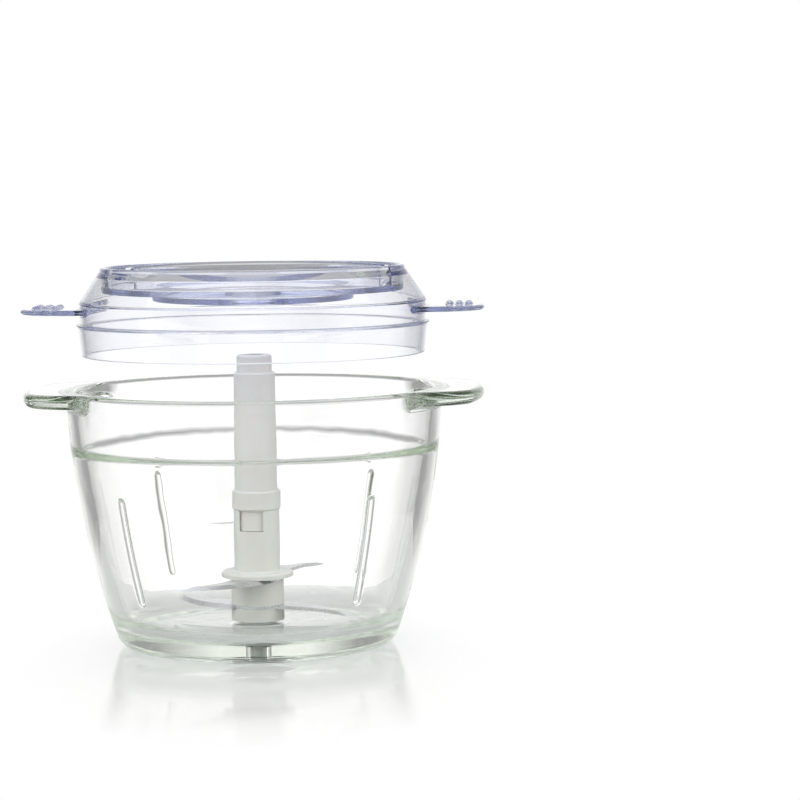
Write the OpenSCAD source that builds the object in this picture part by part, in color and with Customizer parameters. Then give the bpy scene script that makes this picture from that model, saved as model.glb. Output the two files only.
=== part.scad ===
// Mini chopper bowl set: a pressed-glass bowl with two ears, a blade unit that turns on a steel pin
// fixed in the bowl's floor, and a clear moulded lid, lifted off, with a seat for the motor head.
// Millimetres, +Z up, +X through the right ear, origin under the centre of the foot.

/* [Glass bowl] */
// Height of the rim above the table
bowl_h = 107; // [100:1:115]
// Outer radius where the wall meets the rounded rim
rim_r = 78.3; // [76:0.1:80]
// Outer radius at the height of the foot's rounding
foot_r = 59.4; // [56:0.1:61]
// Radius of the shallow arc that the wall follows in section
wall_arc_r = 355; // [320:5:420]
// Thickness of the wall below the ledge
wall_t = 6; // [5.5:0.1:6.4]
// Thickness of the floor
floor_t = 8.5; // [8:0.1:10]
// Radius of the corner between wall and underside
foot_round = 7; // [5:0.5:8]
// Radius of the inner corner between floor and wall
floor_round = 13; // [9:0.5:15]
// Depth of the ledge below the rim
ledge_d = 25; // [22:0.5:28]
// Height of the ledge's slope
ledge_rise = 2; // [1.2:0.1:2.5]
// Thickness of the collar above the ledge
collar_t = 4.4; // [4.2:0.1:4.7]
// Radius that rounds both edges of the rim
rim_round = 2; // [1.4:0.1:2.1]
// Width of the ring that the bowl stands on
stand_w = 6.5; // [5:0.5:9]
// Depth of the underside inside that ring
stand_d = 0.8; // [0.5:0.1:1.2]

/* [Ears of the bowl] */
// Length of an ear beyond the rim
ear_len = 17.2; // [15:0.1:20]
// Width of an ear from front to back
ear_w = 84; // [76:1:88]
// Thickness of an ear
ear_t = 5.8; // [4.8:0.2:6.6]
// Radius of an ear's corners, seen from above
ear_corner_r = 26; // [20:0.5:28]

/* [Ribs inside the bowl] */
// Angle between a rib and the ears
rib_angle = 45; // [38:1:50]
// Radius of a rib's round section
rib_r = 2; // [1.5:0.1:2.4]
// Height of a rib's lower end above the floor
rib_low = 12; // [11:0.5:18]
// Depth of a rib's upper end below the ledge
rib_drop = 17; // [12:0.5:25]

/* [Pin through the floor] */
// Radius of the pin that the blade unit turns on
pin_r = 4; // [3.6:0.1:4.3]
// Length of the pin above its shoulder
pin_len = 51; // [46:0.5:54]
// Bevel of the pin's tip
pin_bevel = 1.2; // [0.8:0.1:1.6]
// Radius of the pin's shoulder
shoulder_r = 7; // [6.5:0.1:7.8]
// Thickness of the pin's shoulder
shoulder_t = 1; // [0.8:0.1:1.4]
// Radius of the threaded tail
tail_r = 3; // [2.6:0.1:3.3]
// Thickness of the grommet's wall in the hole of the glass
grommet_t = 1.9; // [1.5:0.1:2.4]
// Thickness of a soft seal between steel and glass
seal_t = 0.8; // [0.6:0.1:1]
// Overhang of a soft seal past the steel that it bears on
seal_over = 0.6; // [0.4:0.1:1]
// Radius of the washer
washer_r = 10; // [9:0.5:11]
// Thickness of the washer
washer_t = 1; // [0.8:0.1:1.2]
// Width of the nut across its flats
nut_af = 10; // [9:0.5:11]
// Height of the nut
nut_h = 2.6; // [2.4:0.1:2.8]
// Room between the nut and the table
nut_room = 0.4; // [0.3:0.1:0.8]
// Room round the washer in its pocket
pocket_room = 3; // [2:0.5:5]

/* [Blade unit] */
// Turn of the blade unit at rest, from windows facing straight ahead
unit_turn = -12; // [-90:1:90]
// Radius of the stem just above the hub
stem_r = 8.9; // [8.6:0.1:9]
// Radius of the stem under its neck
stem_top_r = 8.6; // [8.4:0.1:8.7]
// Height of the stem's shoulder above the rim
stem_rise = 6.2; // [5:0.1:7]
// Radius of the neck above that shoulder
neck_r = 7.3; // [7:0.1:7.5]
// Height of the neck
neck_h = 7.3; // [6:0.1:9]
// Width across the flats of the drive socket
socket_af = 8.5; // [8:0.1:9]
// Depth of the drive socket
socket_d = 14; // [10:0.5:18]
// Radius of the hub's sleeve
hub_r = 9.5; // [9.3:0.1:9.8]
// Height of the sleeve above the flange's underside
sleeve_h = 36; // [34:0.5:40]
// Rise of the sleeve's top band over the sleeve
band_rise = 0.6; // [0.4:0.1:1]
// Height of that band
band_h = 7.5; // [6:0.5:9]
// Thickness of the sleeve round the stem's plug
sleeve_t = 2.5; // [2.2:0.1:2.8]
// Length of the stem's plug in the sleeve
plug_len = 21; // [18:0.5:22]
// Radius of the flange above the blades
flange_r = 15; // [13.5:0.5:16]
// Thickness of the flange
flange_t = 2.2; // [1.8:0.1:2.6]
// Width of a window in the sleeve
window_w = 10; // [8:0.5:11]
// Height of a window in the sleeve
window_h = 8.5; // [7:0.5:9]
// Depth of the stem's catch inside a window
catch_d = 1.2; // [0.8:0.1:1.5]
// Radius of the round part of the spigot under the flange
spigot_r = 8; // [7.6:0.1:8.4]
// Width of the spigot across its two flats
spigot_af = 13; // [12:0.1:14]
// Thickness of the rings on the spigot
ring_t = 3; // [2.4:0.1:3.5]
// Height of the retainer under the lower blade
retainer_h = 5.3; // [4:0.1:6]

/* [Blades] */
// Thickness of the blade sheet
blade_t = 1.4; // [1.1:0.1:1.7]
// Reach of a blade's tip from the axis
blade_reach = 46; // [42:0.5:48]
// Sweep of a blade's tip behind its wing's middle
tip_sweep = 25; // [18:1:30]
// Radius of the convex cutting edge, seen from above
edge_r = 45; // [42:1:55]
// Radius of the hollow back edge, seen from above
back_r = 60; // [52:1:80]
// Width of a wing ahead of its middle, at the hub
wing_front = 9.6; // [8.5:0.1:10.5]
// Width of a wing behind its middle, at the hub
wing_back = 6.4; // [5:0.1:7.5]
// Width of the ground bevel
bevel_w = 2.6; // [2:0.1:3.2]
// Upward bend of the upper blade's wings
wing_bend = 1.5; // [1:0.5:6]
// Turn of the upper blade on the hub
upper_turn = 271; // [180:1:300]
// Gap between the two blades
blade_gap = 10; // [9:0.5:11]

/* [Lid] */
// Height of the lid above its seat on the ears, as it is lifted off
lid_lift = 31.2; // [25:0.1:60]
// Wall thickness of the lid
lid_t = 2.2; // [1.9:0.1:2.4]
// Depth of the skirt below the seat
skirt_d = 17.3; // [15:0.1:19]
// Room between the skirt's lower edge and the collar
skirt_room = 1.5; // [1.3:0.1:2.2]
// Depth of the bead round the skirt, below the seat
bead_d = 4.6; // [4:0.1:8]
// Room between the bead and the collar
bead_room = 0.6; // [0.4:0.1:0.8]
// Rise of the bead over the body of the lid
bead_rise = 1.5; // [1:0.1:1.6]
// Half height of the bead
bead_h = 0.6; // [0.4:0.1:0.8]
// Height at which the shoulder starts, above the seat
shoulder_low = 4; // [3:0.1:5]
// Width of the sloping shoulder
shoulder_w = 8.5; // [7.8:0.1:9]
// Height of the top ring above the seat
lid_h = 19; // [18:0.1:20]
// Width of the top ring
ring_w = 2.8; // [2.6:0.1:3.4]
// Depth of the motor seat below the top ring
seat_d = 9.2; // [8.4:0.1:10]
// Width of the outer floor of the motor seat
seat_w = 20.6; // [16:0.2:24]
// Depth of the sunken middle below that floor
well_d = 4.4; // [3:0.1:4.8]
// Room round the stem in the lid's hole
stem_room = 1.1; // [0.8:0.1:1.4]
// Height of the lip round the hole
lip_h = 1.4; // [1:0.1:2]
// Width of a notch in the motor seat's wall
notch_w = 5; // [4:0.5:7]
// Depth of a notch
notch_d = 0.9; // [0.6:0.1:1.2]
// Angle between a notch and the tabs
notch_angle = 25; // [20:1:40]
// Reach of a thumb tab past the ear under it
tab_over = 0.4; // [0:0.1:2]
// Width of a thumb tab
tab_w = 49; // [42:1:54]
// Radius of a tab's corners, seen from above
tab_corner_r = 17; // [12:0.5:20]
// Radius of the ball that each grip bump is cut from
bump_r = 1.7; // [1.5:0.1:1.9]
// Rise of a grip bump
bump_rise = 1.2; // [0.9:0.1:1.4]
// Number of grip bumps along a tab
bump_columns = 3; // [2:1:3]
// Number of grip bumps across a tab
bump_rows = 5; // [3:1:6]
// Distance between neighbouring grip bumps
bump_pitch = 4; // [3.9:0.1:4.4]
// Distance of the outer bumps from the tab's tip
bump_edge = 6.5; // [5:0.5:8]

/* [Hidden] */
// Facets of round shapes, and of the wall's large arcs.
$fn = 96;
wall_fn = 720;

// Clearances: a turning fit, a fit between fixed pieces, the lid on its seat, and a catch in its window.
run_gap = 0.1;
fixed_gap = 0.05;
seat_gap = 0.1;
catch_gap = 0.2;
// Small chamfer on moulded edges, and how far a cut runs past the face that it opens.
edge = 0.7;
past = 1;

// Centre of the arc of radius r from p to q, to the left of that way.
function arc_centre(p, q, r) =
    let (way = q - p, off = sqrt(r * r - pow(norm(way) / 2, 2)) / norm(way))
    (p + q) / 2 + off * [-way[1], way[0]];

// Both wall faces follow arcs about one centre, on the far side of the axis.
wall_low_z = foot_round;
wall_high_z = bowl_h - rim_round;
wall_c = arc_centre([foot_r, wall_low_z], [rim_r, wall_high_z], wall_arc_r);
inner_arc_r = wall_arc_r - wall_t;

// Radius of an arc face of the wall at height z.
function wall_x(z, r) = wall_c[0] + sqrt(r * r - pow(z - wall_c[1], 2));

// Centre of a corner of radius r that stands on height z and touches the arc of radius wall.
function corner_x(z, r, wall) = wall_c[0] + sqrt(pow(wall - r, 2) - pow(z + r - wall_c[1], 2));

// Height at which that corner runs into the arc.
function corner_top(z, r, wall) = z + r + r * (z + r - wall_c[1]) / (wall - r);

// Inside of the collar, a shallow cone from the ledge to the rim.
ledge_z = bowl_h - ledge_d;
collar_low_z = ledge_z + ledge_rise;
collar_low_r = wall_x(collar_low_z, wall_arc_r) - collar_t;
collar_top_r = rim_r - collar_t;
function collar_x(z) =
    collar_low_r + (collar_top_r - collar_low_r) * (z - collar_low_z) / (wall_high_z - collar_low_z);

ear_reach = rim_r + ear_len;
stand_r = corner_x(0, foot_round, wall_arc_r);
rib_low_z = floor_t + rib_low;
rib_high_z = ledge_z - rib_drop;

// From the table up: nut, washer and gasket in their pocket, then the glass, the grommet and the pin.
nut_z = nut_room;
washer_z = nut_z + nut_h;
gasket_z = washer_z + washer_t;
pocket_d = gasket_z + seal_t;
pocket_r = washer_r + pocket_room;
tail_hole_r = tail_r + fixed_gap;
hole_r = tail_hole_r + grommet_t + fixed_gap;
pin_foot_z = floor_t + seal_t;
pin_seat_z = pin_foot_z + shoulder_t;
pin_top_z = pin_seat_z + pin_len;

// The unit turns on the pin's shoulder: retainer, blade, spacer and blade hang under the hub's flange.
unit_z = pin_seat_z + run_gap;
lower_blade_z = unit_z + retainer_h;
spacer_z = lower_blade_z + blade_t;
upper_blade_z = spacer_z + blade_gap;
flange_z = upper_blade_z + blade_t;
hub_top_z = flange_z + sleeve_h;
band_z = hub_top_z - band_h;
bore_r = pin_r + run_gap;
unit_ring_r = spigot_r + ring_t;

// The stem plugs into the sleeve, and two catches spring into the windows under the band.
plug_r = hub_r - sleeve_t;
plug_z = hub_top_z - plug_len;
window_mid_z = band_z - edge - window_h / 2;
catch_r = hub_r - catch_d;

// A wing's plan: its tip, the two corners where its edges meet the hub, and its fold past the flange.
tip_p = blade_reach * [cos(tip_sweep), -sin(tip_sweep)];
edge_c = arc_centre(tip_p, [0, wing_front], edge_r);
back_c = arc_centre(tip_p, [0, -wing_back], back_r);
fold_x = flange_r + edge;

// Heights on the lid count from its seat on the ears; lid_z lifts them into place.
lid_z = bowl_h + seat_gap + lid_lift;
bead_r = collar_x(bowl_h - bead_d) - bead_room;
skirt_low_r = collar_x(bowl_h - skirt_d) - skirt_room;
lid_r = bead_r - bead_rise;
ring_r = lid_r - shoulder_w;
ring_round = ring_w / 2;
seat_r = ring_r - ring_w;
seat_h = lid_h - seat_d;
well_r = seat_r - seat_w;
well_h = seat_h - well_d;
lid_hole_r = stem_top_r + stem_room;
tab_reach = ear_reach + tab_over;

// The stem stands up through the hole of the seated lid.
shoulder_z = bowl_h + stem_rise;
stem_top_z = shoulder_z + neck_h;

// Region inside an arc of the wall from a rounded corner at z0 up to z1.
module wall_section(z0, z1, corner, wall) {
    cx = corner_x(z0, corner, wall);
    top = corner_top(z0, corner, wall);
    intersection() {
        translate(wall_c) circle(r = wall, $fn = wall_fn);
        translate([0, top]) square([rim_r + past, z1 - top]);
    }
    intersection() {
        union() {
            translate([0, z0]) square([cx, top - z0]);
            translate([cx, z0 + corner]) circle(r = corner);
        }
        translate([0, z0]) square([rim_r, top - z0]);
    }
}

module bowl_outer() {
    wall_section(0, wall_high_z, foot_round, wall_arc_r);
    translate([0, wall_high_z]) square([rim_r - rim_round, rim_round]);
    intersection() {
        translate([rim_r - rim_round, wall_high_z]) circle(r = rim_round);
        translate([rim_r - rim_round, wall_high_z]) square(rim_round);
    }
}

module bowl_cavity() {
    wall_section(floor_t, ledge_z, floor_round, inner_arc_r);
    polygon([
        [0, ledge_z], [wall_x(ledge_z, inner_arc_r), ledge_z], [collar_low_r, collar_low_z],
        [collar_top_r, wall_high_z], [0, wall_high_z]
    ]);
    translate([0, wall_high_z]) difference() {
        square([collar_top_r + rim_round, rim_round + past]);
        translate([collar_top_r + rim_round, 0]) circle(r = rim_round);
    }
}

// Section of a tongue of thickness t with a fully rounded edge at x1.
module tongue_section(x0, x1, t) {
    round_x = x1 - t / 2;
    translate([x0, -t / 2]) square([round_x - x0, t]);
    intersection() {
        translate([round_x, 0]) circle(r = t / 2);
        translate([round_x, -t / 2]) square(t);
    }
}

// A flat tongue along +X from x0 to its tip at x1, with rounded corners and edges.
module paddle(x0, x1, w, t, corner) {
    straight = w / 2 - corner;
    rotate([90, 0, 0]) linear_extrude(2 * straight, center = true) tongue_section(x0, x1, t);
    for (side = [0, 1]) mirror([0, side, 0]) translate([0, straight, 0]) {
        translate([x1 - corner, 0, 0]) rotate_extrude(angle = 90) tongue_section(0, corner, t);
        translate([x0, 0, 0]) rotate([90, 0, 90]) linear_extrude(x1 - corner - x0)
            tongue_section(0, corner, t);
    }
}

// One rib: a round bar with ball ends, half sunk in the inner wall and leaning with it.
module rib() {
    low = [wall_x(rib_low_z, inner_arc_r), rib_low_z];
    way = [wall_x(rib_high_z, inner_arc_r), rib_high_z] - low;
    translate([low[0], 0, low[1]]) rotate([0, atan2(way[0], way[1]), 0]) rotate_extrude() {
        square([rib_r, norm(way)]);
        for (end = [0, norm(way)]) translate([0, end]) intersection() {
            circle(r = rib_r);
            translate([0, end > 0 ? 0 : -rib_r]) square(rib_r);
        }
    }
}

// Copies children to one angle on each side of both ends of the X axis.
module four_ways(angle) for (turn = [angle, 180 - angle, 180 + angle, -angle])
    rotate([0, 0, turn]) children();

module glass_bowl() color([0.86, 0.93, 0.90, 0.45]) difference() {
    union() {
        difference() {
            union() {
                rotate_extrude() bowl_outer();
                for (turn = [0, 180]) rotate([0, 0, turn]) translate([0, 0, bowl_h - ear_t / 2])
                    paddle(rim_r - ear_len, ear_reach, ear_w, ear_t, ear_corner_r);
            }
            rotate_extrude() bowl_cavity();
        }
        four_ways(rib_angle) rib();
    }
    translate([0, 0, -past]) cylinder(r = stand_r - stand_w, h = past + stand_d);
    translate([0, 0, -past]) cylinder(r = pocket_r, h = past + pocket_d);
    cylinder(r = hole_r, h = floor_t + past);
}

module spindle_pin() color([0.72, 0.73, 0.74]) {
    translate([0, 0, nut_z]) cylinder(r = tail_r, h = pin_foot_z - nut_z);
    translate([0, 0, pin_foot_z]) cylinder(r = shoulder_r, h = shoulder_t);
    translate([0, 0, pin_seat_z]) cylinder(r = pin_r, h = pin_len - pin_bevel);
    translate([0, 0, pin_top_z - pin_bevel]) cylinder(r1 = pin_r, r2 = pin_r - pin_bevel, h = pin_bevel);
}

// A flat ring round the pin's tail.
module tail_ring(z, r, h) translate([0, 0, z]) difference() {
    cylinder(r = r, h = h);
    translate([0, 0, -past]) cylinder(r = tail_hole_r, h = h + 2 * past);
}

module floor_grommet() color([0.80, 0.80, 0.78]) {
    tail_ring(pocket_d, hole_r - fixed_gap, floor_t - pocket_d);
    tail_ring(floor_t, shoulder_r + seal_over, seal_t);
}

module lower_gasket() color([0.80, 0.80, 0.78]) tail_ring(gasket_z, washer_r + seal_over, seal_t);

module pin_washer() color([0.70, 0.71, 0.72]) tail_ring(washer_z, washer_r, washer_t);

module pin_nut() color([0.70, 0.71, 0.72]) translate([0, 0, nut_z]) difference() {
    cylinder(d = nut_af / cos(30), h = nut_h, $fn = 6);
    translate([0, 0, -past]) cylinder(r = tail_hole_r, h = nut_h + 2 * past);
}

// Outline of the flatted spigot, grown by gap for what is threaded on it.
module spigot_shape(gap = 0) intersection() {
    circle(r = spigot_r + gap);
    square([2 * spigot_r + past, spigot_af + 2 * gap], center = true);
}

// Turns a piece of the blade unit as it stands at rest.
module on_unit() rotate([0, 0, unit_turn]) children();

// A block across the sleeve in line with both windows.
module window_block(gap) translate([0, 0, window_mid_z])
    cube([window_w - 2 * gap, 2 * (hub_r + band_rise + past), window_h - 2 * gap], center = true);

module blade_hub() color([0.86, 0.85, 0.81]) on_unit() {
    band_r = hub_r + band_rise;
    flange_top_z = flange_z + flange_t;
    difference() {
        union() {
            rotate_extrude() polygon([
                [0, flange_z], [flange_r, flange_z], [flange_r, flange_top_z - edge],
                [flange_r - edge, flange_top_z], [hub_r + edge, flange_top_z],
                [hub_r, flange_top_z + edge], [hub_r, band_z - edge], [band_r, band_z],
                [band_r, hub_top_z - edge], [band_r - edge, hub_top_z], [0, hub_top_z]
            ]);
            translate([0, 0, unit_z]) linear_extrude(flange_z - unit_z) spigot_shape();
        }
        translate([0, 0, plug_z - fixed_gap]) cylinder(r = plug_r + fixed_gap, h = plug_len + past);
        translate([0, 0, unit_z - past]) cylinder(r = bore_r, h = plug_z - unit_z + past);
        window_block(0);
    }
}

module blade_stem() color([0.86, 0.85, 0.81]) on_unit() difference() {
    union() {
        rotate_extrude() polygon([
            [0, plug_z], [plug_r - edge, plug_z], [plug_r, plug_z + edge], [plug_r, hub_top_z],
            [stem_r, hub_top_z], [stem_top_r, shoulder_z - edge], [stem_top_r - edge, shoulder_z],
            [neck_r, shoulder_z], [neck_r, stem_top_z - edge], [neck_r - edge, stem_top_z], [0, stem_top_z]
        ]);
        intersection() {
            window_block(catch_gap);
            cylinder(r = catch_r, h = hub_top_z);
        }
    }
    translate([0, 0, plug_z - past]) cylinder(r = bore_r, h = pin_top_z - plug_z + 2 * past);
    translate([0, 0, stem_top_z - socket_d]) cylinder(d = socket_af / cos(30), h = socket_d + past, $fn = 6);
}

// Half of a blade, flat: a crescent whose convex front edge is ground from above.
module flat_wing() difference() {
    linear_extrude(blade_t) difference() {
        intersection() {
            translate(edge_c) circle(r = edge_r);
            translate([0, -edge_r]) square(2 * edge_r);
        }
        translate(back_c) circle(r = back_r);
    }
    translate(edge_c) rotate_extrude() polygon([
        [edge_r - bevel_w, blade_t], [edge_r - bevel_w, blade_t + past],
        [edge_r + past, blade_t + past], [edge_r + past, -past * blade_t / bevel_w]
    ]);
}

// The wing folded up by bend along a line just outside the flange.
module wing(bend) {
    lap = fixed_gap;
    intersection() {
        flat_wing();
        translate([0, -blade_reach, -past]) cube([fold_x + lap, 2 * blade_reach, blade_t + 2 * past]);
    }
    translate([fold_x, 0, 0]) rotate([0, -bend, 0]) translate([-fold_x, 0, 0]) intersection() {
        flat_wing();
        translate([fold_x - lap, -blade_reach, -past])
            cube([blade_reach, 2 * blade_reach, blade_t + 2 * past]);
    }
}

// A whole blade, turned on the hub and keyed to its spigot.
module blade(turn, bend) difference() {
    rotate([0, 0, turn]) {
        cylinder(r = unit_ring_r, h = blade_t);
        for (half = [0, 180]) rotate([0, 0, half]) wing(bend);
    }
    translate([0, 0, -past]) linear_extrude(blade_t + 2 * past) spigot_shape(fixed_gap);
}

module upper_blade() color([0.74, 0.75, 0.77]) on_unit()
    translate([0, 0, upper_blade_z]) blade(upper_turn, wing_bend);

module lower_blade() color([0.74, 0.75, 0.77]) on_unit()
    translate([0, 0, lower_blade_z]) blade(upper_turn + 90, 0);

// A ring threaded on the spigot.
module unit_ring(z, h) translate([0, 0, z]) linear_extrude(h) difference() {
    circle(r = unit_ring_r);
    spigot_shape(fixed_gap);
}

module blade_spacer() color([0.86, 0.85, 0.81]) on_unit() unit_ring(spacer_z, blade_gap);

module blade_retainer() color([0.86, 0.85, 0.81]) on_unit() unit_ring(unit_z, retainer_h);

// Half section of the lid: skirt with its bead, shoulder, top ring and the stepped motor seat.
module lid_section() {
    ring_low = lid_h - ring_round;
    inner_r = lid_r - lid_t;
    gutter_r = seat_r + lid_t;
    gutter_h = shoulder_low + (ring_low - shoulder_low) * (inner_r - gutter_r) / shoulder_w;
    polygon([
        [skirt_low_r - lid_t, -skirt_d], [skirt_low_r - edge / 2, -skirt_d], [skirt_low_r, edge - skirt_d],
        [lid_r + bead_rise / 2, -bead_d - bead_h], [bead_r, -bead_d - bead_h / 2],
        [bead_r, -bead_d + bead_h / 2], [lid_r, -bead_d + bead_h], [lid_r, shoulder_low],
        [ring_r, ring_low], [seat_r, ring_low], [seat_r, seat_h], [well_r, seat_h], [well_r, well_h],
        [lid_hole_r + lid_t, well_h], [lid_hole_r + lid_t - edge, well_h + lip_h],
        [lid_hole_r, well_h + lip_h], [lid_hole_r, well_h - lid_t], [well_r + lid_t, well_h - lid_t],
        [well_r + lid_t, seat_h - lid_t], [gutter_r, seat_h - lid_t], [gutter_r, gutter_h],
        [inner_r, shoulder_low], [inner_r, -bead_d + bead_h], [inner_r + bead_rise / 2, -bead_d - bead_h]
    ]);
    intersection() {
        translate([seat_r + ring_round, ring_low]) circle(r = ring_round);
        translate([seat_r, ring_low]) square([ring_w, ring_round]);
    }
}

// A thumb tab with its rows of grip bumps.
module thumb_tab() {
    difference() {
        translate([0, 0, lid_t / 2]) paddle(lid_r - tab_corner_r, tab_reach, tab_w, lid_t, tab_corner_r);
        translate([0, 0, -past]) cylinder(r = lid_r - lid_t / 2, h = lid_t + 2 * past);
    }
    for (column = [0:bump_columns - 1], row = [0:bump_rows - 1])
        translate([tab_reach - bump_edge - column * bump_pitch,
                   (row - (bump_rows - 1) / 2) * bump_pitch, lid_t + bump_rise - bump_r])
            sphere(r = bump_r);
}

module lid() color([0.72, 0.74, 0.92, 0.45]) translate([0, 0, lid_z]) {
    difference() {
        rotate_extrude() lid_section();
        four_ways(notch_angle) translate([seat_r - past, -notch_w / 2, seat_h + edge])
            cube([past + notch_d, notch_w, seat_d - ring_w - edge]);
    }
    for (turn = [0, 180]) rotate([0, 0, turn]) thumb_tab();
}

glass_bowl();
spindle_pin();
floor_grommet();
lower_gasket();
pin_washer();
pin_nut();
blade_hub();
blade_stem();
upper_blade();
blade_spacer();
lower_blade();
blade_retainer();
lid();
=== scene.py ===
import math

import bpy
import numpy as np
from mathutils import Matrix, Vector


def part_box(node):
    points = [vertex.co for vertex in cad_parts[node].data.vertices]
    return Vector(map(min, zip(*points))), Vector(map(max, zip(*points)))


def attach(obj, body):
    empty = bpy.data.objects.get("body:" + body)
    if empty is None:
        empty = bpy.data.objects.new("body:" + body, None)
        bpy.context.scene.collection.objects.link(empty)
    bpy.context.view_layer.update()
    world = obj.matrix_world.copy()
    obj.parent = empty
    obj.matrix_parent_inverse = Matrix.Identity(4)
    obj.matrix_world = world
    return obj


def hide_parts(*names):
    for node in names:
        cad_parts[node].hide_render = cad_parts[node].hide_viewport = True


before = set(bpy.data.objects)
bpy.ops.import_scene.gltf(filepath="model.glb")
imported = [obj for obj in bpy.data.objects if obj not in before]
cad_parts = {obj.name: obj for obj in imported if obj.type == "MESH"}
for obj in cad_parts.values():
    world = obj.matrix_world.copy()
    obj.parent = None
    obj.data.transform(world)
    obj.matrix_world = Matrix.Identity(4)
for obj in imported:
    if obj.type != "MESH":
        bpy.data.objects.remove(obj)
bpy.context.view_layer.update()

# Glass bowl: soda-lime glass pressed in one piece, with a ledge inside, four ribs on the inner wall and
# two flat ears level with the rim. Pressing leaves every corner soft, and fire polishing leaves the skin
# slightly wavy. All sizes of the object's pieces are in millimetres.
bowl_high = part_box("glass_bowl")[1]
bowl_h = bowl_high[2] * 1000
rim_r = 78.3
rim_round = 2.0
wall_centre = (-276.266, 122.558)
outer_arc_r = 355.0
inner_arc_r = 349.0
wall_top_z = 92.0
foot_round = 7.0
foot_centre_r = 51.99
floor_z = 8.5
floor_round = 13.0
floor_centre_r = 44.18
floor_top_z = 17.59
ledge_z = 82.0
ledge_top = (72.23, 84.0)
ledge_round = 3.4
ledge_foot_z = ledge_z - 1.7
collar_top_r = 73.9
collar_lip_r = collar_top_r + 0.04
stand_inner_r = 45.49
stand_d = 0.8
pocket_r = 13.0
pocket_z = 4.8
hole_r = 3.5
ear_reach = bowl_high[0] * 1000
ear_half_w = 42.0
ear_corner_r = 15.0
ear_t = 5.8
ear_root_r = 5.5
ear_fillet = 3.0
ear_grow = 6.0
ear_root_angles = (25.0, 155.0, 205.0, 335.0)
rib_angles = (45.0, 135.0, 225.0, 315.0)
rib_ends = (24.5, 65.0)
rib_r = 1.6
rib_fillet = 1.0
mark_z = 41.5
mark_ends = (-25.8, 0.0)
mark_w = 0.8
mark_rise = 0.35


def arc_x(z, radius):
    """Radius of a face of the wall at height z: both faces are arcs about one centre."""
    return wall_centre[0] + np.sqrt(radius ** 2 - (np.asarray(z) - wall_centre[1]) ** 2)


def spaced(low, high, step, spans=()):
    """Values from low to high, step apart, and closer in spans of (middle, half width, fine step)."""
    fine = np.linspace(low, high, 8001)
    density = np.full_like(fine, 1 / step)
    for middle, half, close in spans:
        density += np.clip(2 - 2 * np.abs(fine - middle) / half, 0, 1) / close
    total = np.concatenate([[0], np.cumsum((density[1:] + density[:-1]) / 2 * np.diff(fine))])
    return np.interp(np.linspace(0, total[-1], math.ceil(total[-1]) + 1), total, fine)


def soft_path(corners, step):
    """Points along corners of (r, z, radius), with each corner turned by an arc of its radius."""
    corners = [np.array(corner, float) for corner in corners]
    path = [corners[0][:2]]

    def run_to(point):
        pieces = max(1, math.ceil(np.hypot(*(point - path[-1])) / step))
        path.extend(path[-1] + (point - path[-1]) * k / pieces for k in range(1, pieces + 1))

    for before, corner, after in zip(corners, corners[1:], corners[2:]):
        back, on = before[:2] - corner[:2], after[:2] - corner[:2]
        back, on = back / np.hypot(*back), on / np.hypot(*on)
        half = math.acos(np.clip(back @ on, -1, 1)) / 2
        if corner[2] == 0 or half > 1.55:
            run_to(corner[:2])
            continue
        centre = corner[:2] + (back + on) / np.hypot(*(back + on)) * corner[2] / math.sin(half)
        start, end = (corner[:2] + way * corner[2] / math.tan(half) for way in (back, on))
        run_to(start)
        turn = math.pi - 2 * half
        count = max(3, math.ceil(turn / math.radians(13)))
        side = start - centre
        across = (end - centre - side * math.cos(turn)) / math.sin(turn)
        for k in range(1, count + 1):
            path.append(centre + side * math.cos(turn * k / count) + across * math.sin(turn * k / count))
    run_to(corners[-1][:2])
    return np.array(path)


def all_round(section, turns):
    """Radii and heights of a section that is the same at every angle."""
    return [np.repeat(section[:, [axis]], len(turns), axis=1) for axis in (0, 1)]


def turn_from(turns, angle):
    """Signed turn to each angle from one in degrees."""
    return (turns - math.radians(angle) + math.pi) % (2 * math.pi) - math.pi


def plan_depth(x, y, disc_r, tongue, root_r):
    """Distance inside the plan of a disc with a tongue (reach, half width, corner radius) each side."""
    reach, half_w, corner = tongue
    from_axis = np.hypot(x, y)
    disc = from_axis - disc_r
    past_tip, past_side = from_axis - reach + corner, np.abs(y) - half_w + corner
    flap = np.hypot(np.maximum(past_tip, 0), np.maximum(past_side, 0)) - corner
    flap = flap + np.minimum(np.maximum(past_tip, past_side), 0)
    joined = np.hypot(np.maximum(root_r - disc, 0), np.maximum(root_r - flap, 0))
    return joined - np.maximum(root_r, np.minimum(disc, flap))


def plan_edge(turns, disc_r, tongue, root_r):
    """Radius of that plan's outline at each angle, found by halving."""
    low, high = np.full_like(turns, disc_r * 0.9), np.full_like(turns, tongue[0] * 1.3)
    for _ in range(44):
        middle = (low + high) / 2
        inside = plan_depth(middle * np.cos(turns), middle * np.sin(turns), disc_r, tongue, root_r) > 0
        low, high = np.where(inside, middle, low), np.where(inside, high, middle)
    return low


def quarter(depth, size):
    """Fall of a quarter round of width size, from 1 at its edge to 0 where it meets the flat."""
    return 1 - np.sqrt(1 - (1 - np.clip(depth / size, 0, 1)) ** 2)


def resample(pieces, counts):
    """One row of points along joined polylines, with a share of counts for each, never bunched up."""
    lengths = [np.hypot(*np.diff(piece, axis=0).T).sum() for piece in pieces]
    least = 0.3 * sum(lengths) / sum(counts)
    gaps = np.concatenate([np.full(n, max(length / n, least)) for length, n in zip(lengths, counts)])
    whole = np.concatenate(pieces)
    along = np.concatenate([[0], np.cumsum(np.hypot(*np.diff(whole, axis=0).T))])
    places = np.concatenate([[0], np.cumsum(gaps)]) / gaps.sum() * along[-1]
    return np.stack([np.interp(places, along, whole[:, axis]) for axis in (0, 1)], axis=1)


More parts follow.
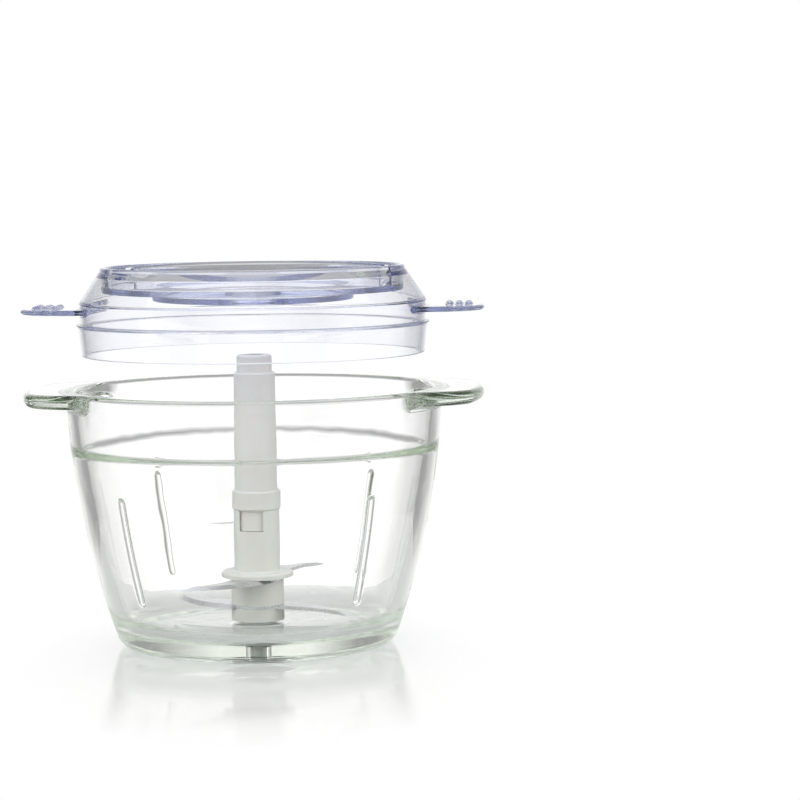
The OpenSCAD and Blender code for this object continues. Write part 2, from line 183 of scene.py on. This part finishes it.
def closed_ring(name, radii, heights, turns):
    """A solid whose sections, one column of radii and heights for each angle, close on themselves."""
    rows, columns = radii.shape
    points = np.stack([radii * np.cos(turns), radii * np.sin(turns), heights], axis=2).reshape(-1, 3)
    row, column = np.meshgrid(np.arange(rows), np.arange(columns), indexing="ij")
    next_row, next_column = (row + 1) % rows, (column + 1) % columns
    corners = ((row, column), (row, next_column), (next_row, next_column), (next_row, column))
    faces = np.stack([(r * columns + c).ravel() for r, c in corners], axis=1)
    cross = np.cross(points[faces[:, 2]] - points[faces[:, 0]], points[faces[:, 3]] - points[faces[:, 1]])
    if (points[faces].mean(axis=1) * cross).sum() < 0:
        faces, cross = faces[:, ::-1], -cross
    normals = np.zeros_like(points)
    for corner in range(4):
        np.add.at(normals, faces[:, corner], cross)
    normals /= np.linalg.norm(normals, axis=1, keepdims=True)
    mesh = bpy.data.meshes.new(name)
    mesh.from_pydata((points / 1000).tolist(), [], faces.tolist())
    mesh.shade_smooth()
    mesh.normals_split_custom_set_from_vertices(normals.tolist())
    made = bpy.data.objects.new(name, mesh)
    bpy.context.scene.collection.objects.link(made)
    return made


def linear(code):
    """Linear colour of an sRGB hex value."""
    parts = [int(code[k:k + 2], 16) / 255 for k in (1, 3, 5)]
    return (*(p / 12.92 if p <= 0.04045 else ((p + 0.055) / 1.055) ** 2.4 for p in parts), 1.0)


def add(tree, kind, sockets=None, **options):
    """Adds a node: options are its own settings, sockets its inputs, each a value or another's output."""
    node = tree.nodes.new(kind)
    for option, value in options.items():
        setattr(node, option, value)
    for socket, value in (sockets or {}).items():
        if isinstance(value, bpy.types.NodeSocket):
            tree.links.new(value, node.inputs[socket])
        else:
            node.inputs[socket].default_value = value
    return node


def new_material(name):
    """An empty material and its node tree."""
    made = bpy.data.materials.new(name)
    made.use_nodes = True
    made.node_tree.nodes.clear()
    return made, made.node_tree


bowl_turns = np.radians(spaced(
    0, 360, step=1.25,
    spans=[(angle, 4.2, 0.2) for angle in rib_angles] + [(angle, 12.0, 0.4) for angle in ear_root_angles],
)[:-1])
ear = (ear_reach, ear_half_w, ear_corner_r)

# The section is one closed loop of rows. Its two ends meet in the hole for the pin, and its inner and
# outer halves meet on top of the rim.
hole_seam = (6.0, 6.6)
rim_seam = (collar_top_r + rim_round + 0.15, collar_top_r + rim_round + 0.25)

# Up the inside: the hole, the floor, the wall, which is closer spaced at the ends of the ribs, the ledge,
# the collar and the rim.
floor_centre_z = floor_z + floor_round
floor_end = math.degrees(math.asin((floor_top_z - floor_centre_z) / floor_round))
floor_turns = np.radians(np.linspace(-90, floor_end, 16))[1:-1]
inner_z = spaced(
    floor_top_z, ledge_foot_z - 0.3, step=1.5,
    spans=[(rib_ends[0] - 1.0, 4.5, 0.4), (rib_ends[1] + 1.5, 4.0, 0.4)])
inside = np.concatenate([
    soft_path([(hole_r, hole_seam[1], 0), (hole_r, floor_z, 0.5), (floor_centre_r, floor_z, 0)], step=3.0),
    np.stack([floor_centre_r + floor_round * np.cos(floor_turns),
              floor_centre_z + floor_round * np.sin(floor_turns)], axis=1),
    np.stack([arc_x(inner_z, inner_arc_r), inner_z], axis=1),
    soft_path([(arc_x(ledge_foot_z, inner_arc_r), ledge_foot_z, 0),
               (arc_x(ledge_z, inner_arc_r), ledge_z, ledge_round), (*ledge_top, ledge_round),
               (collar_lip_r, bowl_h, rim_round - 0.05), (rim_seam[0], bowl_h, 0)], step=2.2),
])
inner_r, inner_h = all_round(inside, bowl_turns)

# A rib is a round bar half sunk in the wall, with ball ends and a soft root.
on_wall = (inner_h >= floor_top_z - 4) & (inner_h <= ledge_z - 1)
root_at = math.sqrt((rib_r + rib_fillet) ** 2 - rib_fillet ** 2)
meet_at = root_at * rib_r / (rib_r + rib_fillet)
for angle in rib_angles:
    past_end = np.maximum(np.maximum(rib_ends[0] - inner_h, inner_h - rib_ends[1]), 0)
    away = np.hypot(inner_r * turn_from(bowl_turns, angle), past_end)
    crown = np.sqrt(np.maximum(rib_r ** 2 - away ** 2, 0))
    root = rib_fillet - np.sqrt(np.maximum(rib_fillet ** 2 - (away - root_at) ** 2, 0))
    rise = np.where(away < meet_at, crown, np.where(away < root_at, root, 0))
    inner_r = inner_r - np.where(on_wall, rise, 0)

# Down the outside from the rim: at each angle the ear's top, its round edge and its underside, which
# runs into the wall with a fillet, so beside the ears the same rows lie on the plain rim.
ear_low_z = bowl_h - ear_t
wall_r = arc_x(ear_low_z - ear_fillet / 2, outer_arc_r)
both_ends = (1 - np.cos(np.linspace(0, math.pi, 160))) / 2
one_end = 1 - np.cos(np.linspace(0, math.pi / 2, 160))
top_rows = []
for turn, edge_r in zip(bowl_turns, plan_edge(bowl_turns, rim_r, ear, ear_root_r)):
    def inset(r):
        return plan_depth(r * math.cos(turn), r * math.sin(turn), rim_r, ear, ear_root_r)

    grown = min(1, (edge_r - rim_r) / ear_grow)
    edge_round = rim_round + (ear_t / 2 - rim_round) * grown * grown * (3 - 2 * grown)
    lift = bowl_h - edge_round - ear_low_z
    under_r = wall_r + (edge_r - wall_r) * both_ends
    under_z = (ear_low_z + lift * quarter(inset(under_r), edge_round)
               - ear_fillet * quarter(under_r - wall_r, ear_fillet))
    start_z = np.linspace(wall_top_z, under_z[0], 12)
    start_shift = np.linspace(0, wall_r - arc_x(under_z[0], outer_arc_r), 12)
    start_r = arc_x(start_z, outer_arc_r) + start_shift
    top_r = edge_r + (rim_seam[1] - edge_r) * one_end
    top_z = bowl_h - edge_round * quarter(inset(top_r), edge_round)
    runs = ((start_r, start_z), (under_r, under_z), (top_r, top_z))
    top_rows.append(resample([np.stack(run, axis=1) for run in runs], counts=(8, 34, 40))[::-1])
top_rows = np.array(top_rows).transpose(1, 0, 2)

# On down the wall, which is closer spaced at the filling line, round the foot, and over the underside
# back to the hole.
foot_join_z = foot_round + foot_round * (foot_round - wall_centre[1]) / (outer_arc_r - foot_round)
outer_z = spaced(foot_join_z, wall_top_z, step=2.5, spans=[(mark_z, 1.4, 0.14)])[::-1][1:]
foot_start = math.degrees(math.asin((outer_z[-1] - foot_round) / foot_round))
foot_turns = np.radians(np.linspace(foot_start, -90, 14))[1:]
outside = np.concatenate([
    np.stack([arc_x(outer_z, outer_arc_r), outer_z], axis=1),
    np.stack([foot_centre_r + foot_round * np.cos(foot_turns),
              foot_round + foot_round * np.sin(foot_turns)], axis=1),
    soft_path([(foot_centre_r - 0.2, 0, 0), (stand_inner_r, 0, 0.3), (stand_inner_r, stand_d, 0.3),
               (pocket_r, stand_d, 0.4), (pocket_r, pocket_z, 0.6), (hole_r, pocket_z, 0.3),
               (hole_r, hole_seam[0], 0)], step=3.0),
])
outer_r, outer_h = all_round(outside, bowl_turns)

# The filling line is a low ridge on the back of the wall, left of the middle, with faded ends.
along = -outer_r * np.sin(bowl_turns - math.pi / 2)
ridge = np.clip(np.minimum(along - mark_ends[0], mark_ends[1] - along) + 0.5, 0, 1)
swell = np.cos(np.clip((outer_h - mark_z) / mark_w, -0.5, 0.5) * math.pi) ** 2
outer_r = outer_r + mark_rise * ridge * swell * (np.sin(bowl_turns) > 0)

bowl = closed_ring(
    "bowl_glass",
    np.concatenate([inner_r, top_rows[:, :, 0], outer_r]),
    np.concatenate([inner_h, top_rows[:, :, 1], outer_h]),
    bowl_turns,
)

# Soda-lime glass, pressed and fire polished: clear through the thickness of the wall and grey-green along
# it, with a skin that is smooth but for slow waves.
wave_mm = 14.0
glass, tree = new_material("soda_lime_glass")
place = add(tree, "ShaderNodeTexCoord")
waves = add(tree, "ShaderNodeTexNoise", {
    "Vector": place.outputs["Object"], "Scale": 1000 / wave_mm, "Detail": 1.0})
skin = add(tree, "ShaderNodeBump", {"Height": waves.outputs["Fac"], "Strength": 0.12, "Distance": 0.0006})
clear = add(tree, "ShaderNodeBsdfPrincipled", {
    "Base Color": linear("#FFFFFF"), "Roughness": 0.0, "IOR": 1.52, "Transmission Weight": 1.0,
    "Normal": skin.outputs["Normal"]})
passing = add(tree, "ShaderNodeBsdfTransparent", {"Color": linear("#F4F8F6")})
rays = add(tree, "ShaderNodeLightPath")
mixed = add(tree, "ShaderNodeMixShader", {
    "Fac": rays.outputs["Is Shadow Ray"], 1: clear.outputs["BSDF"], 2: passing.outputs["BSDF"]})
depth = add(tree, "ShaderNodeVolumeAbsorption", {"Color": linear("#E6ECE3"), "Density": 11.0})
add(tree, "ShaderNodeOutputMaterial", {
    "Surface": mixed.outputs["Shader"], "Volume": depth.outputs["Volume"]})
bowl.data.materials.append(glass)
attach(bowl, "bowl")
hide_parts("glass_bowl")


# Pin and its clamp: a turned stainless pin held in the floor by a nut and a washer, with silicone seals
# between steel and glass, so nothing hard bears on the glass.
def dress(names, material):
    """Gives CAD nodes one material."""
    for name in names:
        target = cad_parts[name]
        target.data.materials.clear()
        target.data.materials.append(material)


# Stainless steel, turned: bright, with fine rings round the axis, drawn 0.25 mm apart so that they show.
# The texture's waves repeat after a twentieth of a full turn in radians, divided by its scale.
ring_mm = 0.25
pin_steel, tree = new_material("turned_stainless_steel")
place = add(tree, "ShaderNodeTexCoord")
rings = add(tree, "ShaderNodeTexWave", {
    "Vector": place.outputs["Object"], "Scale": 2 * math.pi / 20 * 1000 / ring_mm,
    "Distortion": 1.5, "Detail": 2.0}, bands_direction="Z")
rough = add(tree, "ShaderNodeMapRange", {"Value": rings.outputs["Fac"], "To Min": 0.18, "To Max": 0.32})
groove = add(tree, "ShaderNodeBump", {
    "Height": rings.outputs["Fac"], "Strength": 0.15, "Distance": 0.00005})
metal = add(tree, "ShaderNodeBsdfPrincipled", {
    "Base Color": linear("#C6C7C8"), "Metallic": 1.0, "Roughness": rough.outputs["Result"],
    "Normal": groove.outputs["Normal"]})
add(tree, "ShaderNodeOutputMaterial", {"Surface": metal.outputs["BSDF"]})
dress(["spindle_pin", "pin_washer", "pin_nut"], pin_steel)

# Silicone rubber, moulded: milky and matt, faintly clouded and lit a little from within.
cloud_mm = 3.0
silicone, tree = new_material("silicone_rubber")
place = add(tree, "ShaderNodeTexCoord")
cloud = add(tree, "ShaderNodeTexNoise", {
    "Vector": place.outputs["Object"], "Scale": 1000 / cloud_mm, "Detail": 2.0})
tint = add(tree, "ShaderNodeValToRGB", {"Fac": cloud.outputs["Fac"]})
tint.color_ramp.elements[0].color = linear("#D4D5D0")
tint.color_ramp.elements[1].color = linear("#E0E1DC")
soft = add(tree, "ShaderNodeBsdfPrincipled", {
    "Base Color": tint.outputs["Color"], "Roughness": 0.5, "IOR": 1.41, "Subsurface Weight": 0.3,
    "Subsurface Scale": 0.001})
add(tree, "ShaderNodeOutputMaterial", {"Surface": soft.outputs["BSDF"]})
dress(["lower_gasket"], silicone)

# The grommet's lip lies on the floor under the pin's shoulder, and its thin sleeve lines the hole.
grommet_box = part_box("floor_grommet")
grommet_low, grommet_high = (corner[2] * 1000 for corner in grommet_box)
lip_r = grommet_box[1][0] * 1000
sleeve_r = hole_r - 0.05
bore_r = 3.05
grommet_turns = np.radians(np.arange(0, 360, 3.0))
grommet = closed_ring("pin_grommet", *all_round(soft_path([
    (bore_r, hole_seam[0], 0), (bore_r, grommet_low, 0.1), (sleeve_r, grommet_low, 0.1),
    (sleeve_r, floor_z, 0.1), (lip_r, floor_z, 0.2), (lip_r, grommet_high, 0.3),
    (bore_r, grommet_high, 0.1), (bore_r, hole_seam[1], 0),
], step=1.2), grommet_turns), grommet_turns)
grommet.data.materials.append(silicone)
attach(grommet, "bowl")
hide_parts("floor_grommet")

# Blade unit's plastic: a tapered stem plugged into the hub's sleeve, and the rings that clamp the blades
# on the hub's flatted spigot. All are injection moulded in one pale warm grey.
# Polypropylene, moulded and satin: slightly waxy, with faint flow marks and a fine spark-eroded texture.
flow_mm = 18.0
grain_mm = 0.6
ivory, tree = new_material("moulded_polypropylene")
place = add(tree, "ShaderNodeTexCoord")
flow = add(tree, "ShaderNodeTexNoise", {
    "Vector": place.outputs["Object"], "Scale": 1000 / flow_mm, "Detail": 3.0})
tint = add(tree, "ShaderNodeValToRGB", {"Fac": flow.outputs["Fac"]})
tint.color_ramp.elements[0].position = 0.3
tint.color_ramp.elements[0].color = linear("#D9D8D1")
tint.color_ramp.elements[1].position = 0.7
tint.color_ramp.elements[1].color = linear("#DEDDD7")
grain = add(tree, "ShaderNodeTexNoise", {
    "Vector": place.outputs["Object"], "Scale": 1000 / grain_mm, "Detail": 2.0})
rough = add(tree, "ShaderNodeMapRange", {"Value": grain.outputs["Fac"], "To Min": 0.32, "To Max": 0.46})
texture = add(tree, "ShaderNodeBump", {
    "Height": grain.outputs["Fac"], "Strength": 0.06, "Distance": 0.0001})
waxy = add(tree, "ShaderNodeBsdfPrincipled", {
    "Base Color": tint.outputs["Color"], "Roughness": rough.outputs["Result"], "IOR": 1.49,
    "Subsurface Weight": 0.15, "Subsurface Scale": 0.0015, "Normal": texture.outputs["Normal"]})
add(tree, "ShaderNodeOutputMaterial", {"Surface": waxy.outputs["BSDF"]})
dress(["blade_hub", "blade_stem", "blade_spacer", "blade_retainer"], ivory)

# Blades: two crescents punched from hard stainless sheet, keyed to the spigot a quarter turn apart, with
# the cutting edge ground from above. The grinding runs across the wings.
# Hardened stainless steel, ground: bright, with straight grinding lines 5 mm long, drawn 0.4 mm apart so
# that they show.
line_mm = 5.0
lines_in_length = 12.0
blade_steel, tree = new_material("ground_blade_steel")
place = add(tree, "ShaderNodeTexCoord")
stretch = add(tree, "ShaderNodeMapping", {
    "Vector": place.outputs["Object"], "Scale": (1.0, lines_in_length, 1.0)})
lines = add(tree, "ShaderNodeTexNoise", {
    "Vector": stretch.outputs["Vector"], "Scale": 1000 / line_mm, "Detail": 4.0})
rough = add(tree, "ShaderNodeMapRange", {"Value": lines.outputs["Fac"], "To Min": 0.16, "To Max": 0.36})
scratch = add(tree, "ShaderNodeBump", {
    "Height": lines.outputs["Fac"], "Strength": 0.12, "Distance": 0.00005})
metal = add(tree, "ShaderNodeBsdfPrincipled", {
    "Base Color": linear("#CFD0D2"), "Metallic": 1.0, "Roughness": rough.outputs["Result"],
    "Normal": scratch.outputs["Normal"]})
add(tree, "ShaderNodeOutputMaterial", {"Surface": metal.outputs["BSDF"]})
dress(["upper_blade", "lower_blade"], blade_steel)

# Lid: one injection-moulded shell of clear tinted plastic, with a skirt and a bead that enter the bowl, a
# sloping shoulder, a round top ring, the stepped seat of the motor head and two thumb tabs with bumps.
# Its heights are measured from the underside of the tabs.
lid_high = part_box("lid")[1]
lid_h = 19.0
lid_base_z = lid_high[2] * 1000 - lid_h
lid_t = 2.2
lid_r = 71.594
shoulder = (lid_r + 0.5, 4.3)
ring_r = 63.094
ring_foot_z = 17.6
seat_r = 60.294
seat_z = 9.8
well_r = 39.694
well_z = 5.4
collar_foot_r = 11.9
drive_collar = (11.2, 6.8)
drive_r = 9.7
gutter_z = 15.04
wall_in_z = 4.0
bead_r = 73.094
bead_z = (-4.9, -4.3)
skirt_top = (72.344, -5.2)
skirt_low = (71.186, -17.3)
tab = (lid_high[0] * 1000, 24.5, 17.0)
tab_root_r = 4.0
tab_root_angles = (17.0, 163.0, 197.0, 343.0)
tab_fillet = 0.7
notch_angles = (25.0, 155.0, 205.0, 335.0)
notch_half_w = 2.5
notch_ends = (10.5, 16.2)
notch_d = 0.9
notch_soft = 0.5
bump_columns = 3
bump_rows = 5
bump_r = 1.7
bump_rise = 1.2
bump_pitch = 4.0
bump_edge = 6.5

lid_turns = np.radians(spaced(
    0, 360, step=1.5,
    spans=[(angle, 2.6, 0.25) for angle in notch_angles]
    + [(angle, 7.0, 0.4) for angle in tab_root_angles]
    + [(angle, 9.0, 0.2) for angle in (0.0, 180.0, 360.0)],
)[:-1])

# Over the top: from the tab up the shoulder, over the ring, down into the seat and to the drive hole,
# then back under the floor, down the gutter and the inside of the skirt, and up its outside. The section
# meets the rows of the tabs on the wall.
wall_seam = (-2.6, 3.3)
over = soft_path([
    (lid_r, wall_seam[1], 0), (lid_r, shoulder[1] - 0.5, 0.25), (*shoulder, 0.3),
    (ring_r, ring_foot_z, 0.8), (ring_r, lid_h, 1.1), (seat_r, lid_h, 1.38), (seat_r, seat_z, 0.5),
    (well_r, seat_z, 0.5), (well_r, well_z, 0.5), (collar_foot_r, well_z, 0.5), (*drive_collar, 0.3),
    (drive_r, drive_collar[1], 0.4), (drive_r, well_z - lid_t, 0.4), (well_r + lid_t, well_z - lid_t, 0.5),
    (well_r + lid_t, seat_z - lid_t, 0.5), (seat_r + lid_t, seat_z - lid_t, 0.5),
    (seat_r + lid_t, gutter_z, 0.35), (lid_r - lid_t, wall_in_z, 0.8), (lid_r - lid_t, -wall_in_z, 1.0),
    (skirt_top[0] - lid_t, skirt_top[1], 1.0), (skirt_low[0] - lid_t, skirt_low[1], 0.5),
    (*skirt_low, 0.6), (*skirt_top, 0.3), (bead_r, bead_z[0], 0.3), (bead_r, bead_z[1], 0.3),
    (lid_r, -wall_in_z, 0.3), (lid_r, wall_seam[0], 0),
], step=2.4)
over_r, over_z = all_round(over, lid_turns)

# Notches that key the motor head, sunk in the seat's wall.
in_band = (np.abs(over[:, 0] - seat_r) < 0.3) & (over[:, 1] > notch_ends[0]) & (over[:, 1] < notch_ends[1])
for angle in notch_angles:
    off = np.abs(turn_from(lid_turns, angle)) * seat_r
    sink = notch_d * np.clip((notch_half_w + notch_soft / 2 - off) / notch_soft, 0, 1)
    over_r = over_r + np.where(in_band[:, None], sink, 0)

# Tabs: both faces run into the wall with a fillet, so between the tabs the same rows lie on the wall.
tab_round = lid_t / 2
tab_rows = []
for turn, edge_r in zip(lid_turns, plan_edge(lid_turns, lid_r, tab, tab_root_r)):
    face_r = lid_r + (edge_r - lid_r) * both_ends
    inset = plan_depth(face_r * math.cos(turn), face_r * math.sin(turn), lid_r, tab, tab_root_r)
    rise = (tab_round - tab_round * quarter(inset, tab_round)
            + tab_fillet * quarter(face_r - lid_r, tab_fillet))
    under = np.stack([face_r, tab_round - rise], axis=1)
    upper = np.stack([face_r, tab_round + rise], axis=1)[::-1]
    below = np.stack([np.full(6, lid_r), np.linspace(wall_seam[0], under[0, 1], 6)], axis=1)
    above = np.stack([np.full(6, lid_r), np.linspace(upper[-1, 1], wall_seam[1], 6)], axis=1)
    tab_rows.append(resample([below, under, upper, above], counts=(4, 26, 62, 4)))
tab_r, tab_z = np.array(tab_rows).transpose(2, 1, 0)[:, 1:-1]

# Grip bumps: rows of low domes near the tip of each tab.
tab_x, tab_y = np.abs(tab_r * np.cos(lid_turns)), tab_r * np.sin(lid_turns)
on_top = (tab_z > lid_t - 0.02) & (tab_r > lid_r + 1.5)
for column in range(bump_columns):
    for row in range(bump_rows):
        bump_x = tab[0] - bump_edge - column * bump_pitch
        bump_y = (row - (bump_rows - 1) / 2) * bump_pitch
        away = np.hypot(tab_x - bump_x, tab_y - bump_y)
        dome = np.sqrt(np.maximum(bump_r ** 2 - away ** 2, 0)) - (bump_r - bump_rise)
        tab_z = np.where(on_top, np.maximum(tab_z, lid_t + dome), tab_z)

lid = closed_ring(
    "lid_shell", np.concatenate([over_r, tab_r]), np.concatenate([over_z, tab_z]) + lid_base_z, lid_turns)

# Styrene-acrylonitrile, moulded clear with a violet-blue toner: nearly clear across the wall, indigo along
# it, with a polished skin and slow flow marks.
flow_mm = 20.0
tinted, tree = new_material("tinted_styrene_acrylonitrile")
place = add(tree, "ShaderNodeTexCoord")
flow = add(tree, "ShaderNodeTexNoise", {
    "Vector": place.outputs["Object"], "Scale": 1000 / flow_mm, "Detail": 1.0})
skin = add(tree, "ShaderNodeBump", {"Height": flow.outputs["Fac"], "Strength": 0.08, "Distance": 0.0005})
clear = add(tree, "ShaderNodeBsdfPrincipled", {
    "Base Color": linear("#FFFFFF"), "Roughness": 0.0, "IOR": 1.57, "Transmission Weight": 1.0,
    "Normal": skin.outputs["Normal"]})
passing = add(tree, "ShaderNodeBsdfTransparent", {"Color": linear("#EEEFFA")})
rays = add(tree, "ShaderNodeLightPath")
mixed = add(tree, "ShaderNodeMixShader", {
    "Fac": rays.outputs["Is Shadow Ray"], 1: clear.outputs["BSDF"], 2: passing.outputs["BSDF"]})
depth = add(tree, "ShaderNodeVolumeAbsorption", {"Color": linear("#A6B4DE"), "Density": 34.0})
add(tree, "ShaderNodeOutputMaterial", {
    "Surface": mixed.outputs["Shader"], "Volume": depth.outputs["Volume"]})
lid.data.materials.append(tinted)
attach(lid, "lid")
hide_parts("lid")

# Table: a small sheet of glossy white acrylic that faces the camera. Its edge fades into the white beyond
# it, and its middle keeps the shadow and the reflection. Sizes are in metres from here on.
view_turn = math.radians(4.5)
table_half_w, table_front, table_back = 0.215, -0.215, 0.12
table_mesh = bpy.data.meshes.new("table_sheet")
table_mesh.from_pydata(
    [(-table_half_w, table_front, 0), (table_half_w, table_front, 0),
     (table_half_w, table_back, 0), (-table_half_w, table_back, 0)], [], [(0, 1, 2, 3)])
table = bpy.data.objects.new("table_sheet", table_mesh)
table.location.z = -0.0001
table.rotation_euler.z = view_turn
bpy.context.scene.collection.objects.link(table)

# Cast acrylic, polished: a clear mirror on a white body, with a faint cloud in its gloss.
cloud_mm = 50.0
sheet, tree = new_material("white_acrylic_sheet")
place = add(tree, "ShaderNodeTexCoord")
cloud = add(tree, "ShaderNodeTexNoise", {
    "Vector": place.outputs["Object"], "Scale": 1000 / cloud_mm, "Detail": 2.0})
rough = add(tree, "ShaderNodeMapRange", {"Value": cloud.outputs["Fac"], "To Min": 0.07, "To Max": 0.1})
gloss = add(tree, "ShaderNodeBsdfPrincipled", {
    "Base Color": linear("#D2D2D0"), "Roughness": rough.outputs["Result"], "IOR": 1.5})
glow = add(tree, "ShaderNodeEmission", {"Color": linear("#FFFFFF"), "Strength": 0.09})
both = add(tree, "ShaderNodeAddShader", {0: gloss.outputs["BSDF"], 1: glow.outputs["Emission"]})
white = add(tree, "ShaderNodeEmission", {"Color": linear("#FFFFFF"), "Strength": 1.0})
across = add(tree, "ShaderNodeMapping", {
    "Vector": place.outputs["Object"], "Location": (0.0, 0.047, 0.0), "Scale": (1.7, 1.0, 1.0)})
from_axis = add(tree, "ShaderNodeVectorMath", {0: across.outputs["Vector"]}, operation="LENGTH")
fade = add(tree, "ShaderNodeMapRange", {
    "Value": from_axis.outputs["Value"], "From Min": 0.1, "From Max": 0.168})
faded = add(tree, "ShaderNodeMixShader", {
    "Fac": fade.outputs["Result"], 1: both.outputs["Shader"], 2: white.outputs["Emission"]})
rays = add(tree, "ShaderNodeLightPath")
seen = add(tree, "ShaderNodeMixShader", {
    "Fac": rays.outputs["Is Camera Ray"], 1: gloss.outputs["BSDF"], 2: faded.outputs["Shader"]})
add(tree, "ShaderNodeOutputMaterial", {"Surface": seen.outputs["Shader"]})
table_mesh.materials.append(sheet)

# Surround: white to the camera. Clear glass and plastic show what lies round them, so for them it is white
# before and behind, pale at the sides and overhead, and grey between, which draws their outlines.
world = bpy.data.worlds.new("white_surround")
bpy.context.scene.world = world
world.use_nodes = True
world.cycles.sampling_method = "NONE"
tree = world.node_tree
tree.nodes.clear()
place = add(tree, "ShaderNodeTexCoord")
way = add(tree, "ShaderNodeSeparateXYZ", {"Vector": place.outputs["Generated"]})
backdrop = 1.0
for axis, none, full in (("X", -0.59, -0.31), ("X", 0.5, 0.1), ("Z", -0.44, -0.2), ("Z", 0.56, 0.28)):
    edge = add(tree, "ShaderNodeMapRange", {
        "Value": way.outputs[axis], "From Min": none, "From Max": full})
    backdrop = add(tree, "ShaderNodeMath", {
        0: backdrop, 1: edge.outputs["Result"]}, operation="MULTIPLY").outputs["Value"]
aside = add(tree, "ShaderNodeMath", {0: way.outputs["X"]}, operation="ABSOLUTE")
flanks = add(tree, "ShaderNodeMapRange", {
    "Value": aside.outputs["Value"], "From Min": 0.75, "From Max": 0.95, "To Min": 0.36, "To Max": 0.88})
overhead = add(tree, "ShaderNodeMapRange", {
    "Value": way.outputs["Z"], "From Min": 0.5, "From Max": 0.8, "To Min": 0.36, "To Max": 0.84})
room = add(tree, "ShaderNodeMath", {
    0: flanks.outputs["Result"], 1: overhead.outputs["Result"]}, operation="MAXIMUM")
surround = add(tree, "ShaderNodeMix", {
    "Factor": backdrop, "A": room.outputs["Value"], "B": 1.1}, data_type="FLOAT")
rays = add(tree, "ShaderNodeLightPath")
mirrored = add(tree, "ShaderNodeMath", {
    0: rays.outputs["Is Glossy Ray"], 1: rays.outputs["Is Transmission Ray"]}, operation="MAXIMUM")
on_object = add(tree, "ShaderNodeMix", {
    "Factor": mirrored.outputs["Value"], "A": 0.7, "B": surround.outputs["Result"]}, data_type="FLOAT")
level = add(tree, "ShaderNodeMix", {
    "Factor": rays.outputs["Is Camera Ray"], "A": on_object.outputs["Result"], "B": 1.0},
    data_type="FLOAT")
shine = add(tree, "ShaderNodeBackground", {
    "Color": linear("#FFFFFF"), "Strength": level.outputs["Result"]})
add(tree, "ShaderNodeOutputWorld", {"Surface": shine.outputs["Background"]})


# Lamps: three large soft boxes, from the left, the right and above, aimed at the middle of the bowl.
def stand_at(thing, spot, right, upward, backward):
    """Puts a lamp or a camera at a spot, with the three directions of its own axes, and into the scene."""
    axes = [[right[k], upward[k], backward[k], spot[k]] for k in range(3)]
    thing.matrix_world = Matrix([*axes, [0, 0, 0, 1]])
    bpy.context.scene.collection.objects.link(thing)


lamp_aim = np.array((0, 0, 0.07))
for name, spot, size, power in (
    ("key_lamp", (-0.9, -0.9, 1.1), 1.9, 14.5),
    ("fill_lamp", (1.1, -0.5, 0.8), 1.6, 8.5),
    ("top_lamp", (0.1, 0.5, 1.4), 1.6, 5.0),
):
    light = bpy.data.lights.new(name, "AREA")
    light.size = size
    light.energy = power
    lamp = bpy.data.objects.new(name, light)
    lamp.visible_camera = False
    lamp.visible_glossy = False
    backward = spot - lamp_aim
    backward /= np.linalg.norm(backward)
    right = np.cross((0, 0, 1), backward)
    right /= np.linalg.norm(right)
    stand_at(lamp, spot, right, np.cross(backward, right), backward)

# Camera: a little above the rim and to the right of straight ahead, turned so that the set stands left of
# the middle of the picture.
distance, height = 1.125, 0.192
aside_turn, pitch, roll = (math.radians(value) for value in (3.078, 4.65, -0.7))
focal_px, picture_px = 2711.0, 800
heading = aside_turn - view_turn
ahead = np.array((
    math.sin(heading) * math.cos(pitch), math.cos(heading) * math.cos(pitch), -math.sin(pitch)))
level_right = np.array((math.cos(heading), -math.sin(heading), 0))
level_up = np.cross(level_right, ahead)
right = level_right * math.cos(roll) + level_up * math.sin(roll)
upward = level_up * math.cos(roll) - level_right * math.sin(roll)
lens = bpy.data.cameras.new("camera")
lens.sensor_width = 36.0
lens.lens = lens.sensor_width * focal_px / picture_px
lens.clip_start = 0.05
lens.clip_end = 50.0
camera = bpy.data.objects.new("camera", lens)
spot = (distance * math.sin(view_turn), -distance * math.cos(view_turn), height)
stand_at(camera, spot, right, upward, -ahead)
scene = bpy.context.scene
scene.camera = camera
scene.view_settings.view_transform = "Standard"
scene.cycles.max_bounces = 64
scene.cycles.transmission_bounces = 64
scene.cycles.glossy_bounces = 64
scene.cycles.transparent_max_bounces = 24
